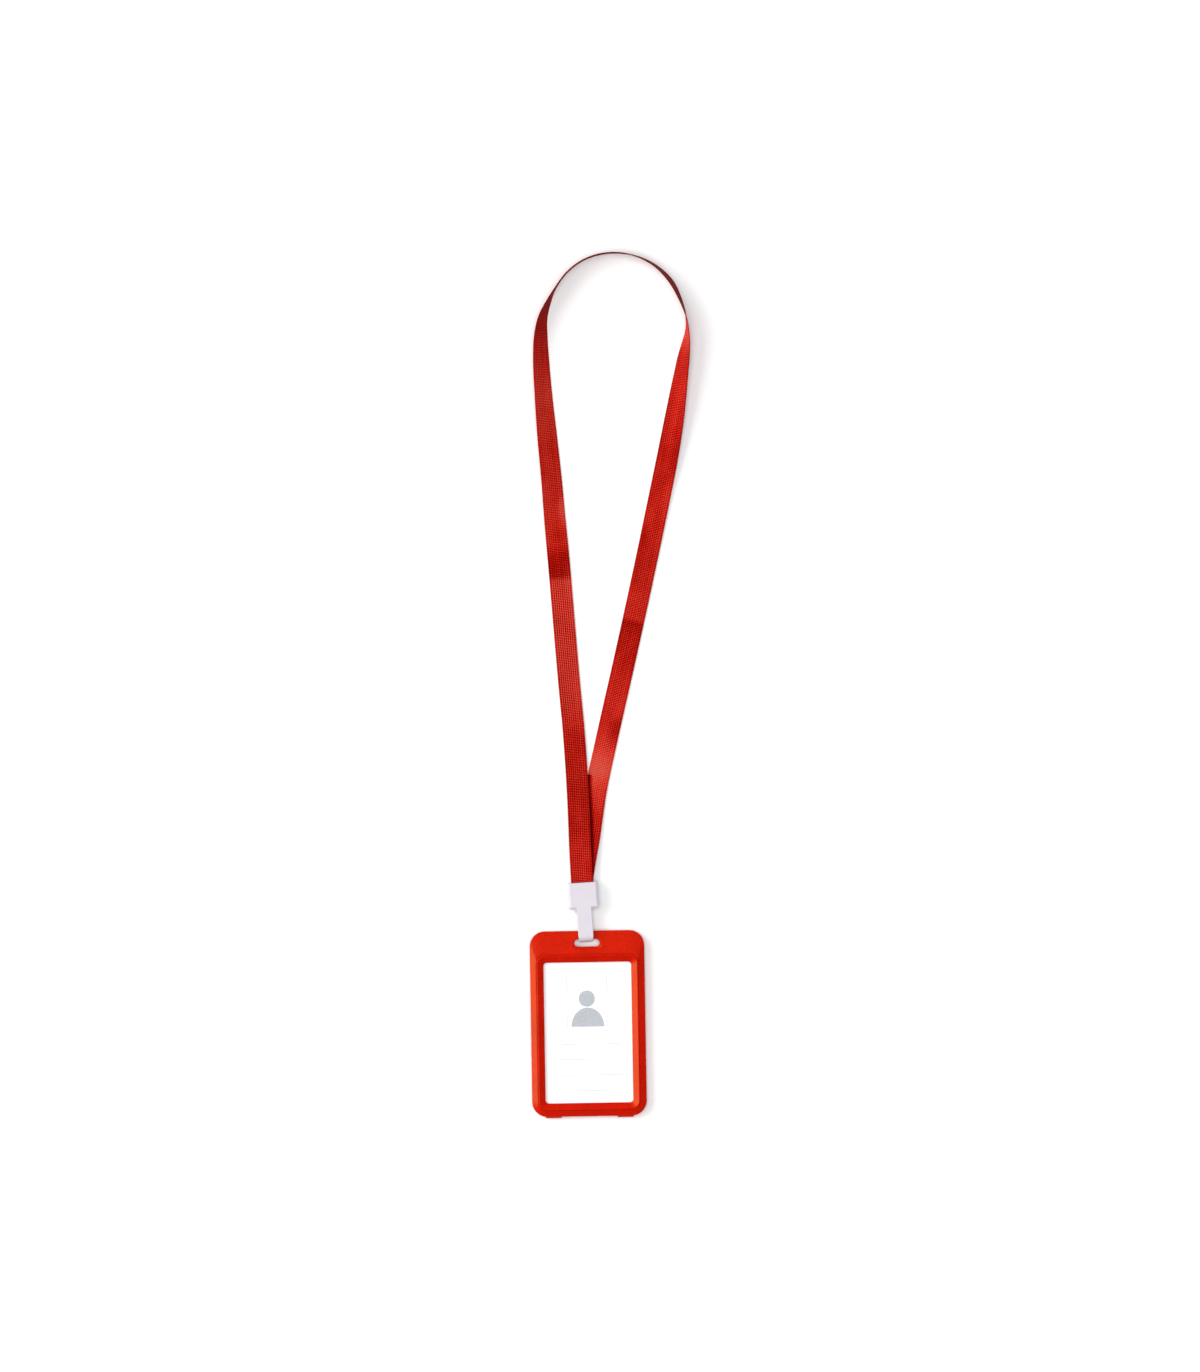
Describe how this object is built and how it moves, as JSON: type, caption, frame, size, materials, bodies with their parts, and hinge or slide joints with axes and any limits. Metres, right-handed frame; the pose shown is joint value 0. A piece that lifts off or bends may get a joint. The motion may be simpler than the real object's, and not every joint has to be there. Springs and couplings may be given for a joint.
{
  "type": "lanyard badge holder",
  "caption": "Rigid card case with a slide-out tray, hung by a gated plastic hook from a flat woven neck strap.",
  "frame": {"origin": "on the surface it lies on, under the middle of the case and clip's box (strap left out)", "axes": "+Y from the case's foot towards the clip and neck loop, +Z out of the card's face"},
  "size_m": [0.1012, 0.513, 0.013],
  "materials": {
    "red_plastic": "satin moulded red, fine grain",
    "clear_plastic": "thin clear sheet",
    "card_stock": null,
    "white_plastic": "satin moulded off-white",
    "steel": "plain bright wire and strip",
    "woven_red": "ribbed woven polyester with a satin sheen"
  },
  "bodies": {
    "clip": {"clip_front_shell": "white_plastic", "clip_back_shell": "white_plastic", "gate_pin": "steel", "gate_spring": "steel", "strap_crimp": "steel", "lanyard_ribbon": "woven_red"},
    "gate": {"hook_gate": "white_plastic"},
    "case": {"front_frame": "red_plastic", "front_window": "clear_plastic"},
    "tray": {"back_cover": "red_plastic", "id_card": "card_stock"}
  },
  "joints": [
    {"name": "case_swing", "type": "hinge", "parent": "clip", "child": "case", "pos_m": [0, 0.03835, 0.0042], "axis": [1, 0, 0], "range_deg": [-100, 100]},
    {"name": "gate_swing", "type": "hinge", "parent": "clip", "child": "gate", "pos_m": [-0.00139, 0.05533, 0.0023], "axis": [-0.9986, -0.0523, 0], "range_deg": [0, 18], "stiffness_Nm_per_rad": 0.02, "springref_deg": -8.59},
    {"name": "tray_slide", "type": "slide", "parent": "case", "child": "tray", "axis": [0, -1, 0], "range_m": [0, 0.096]}
  ]
}
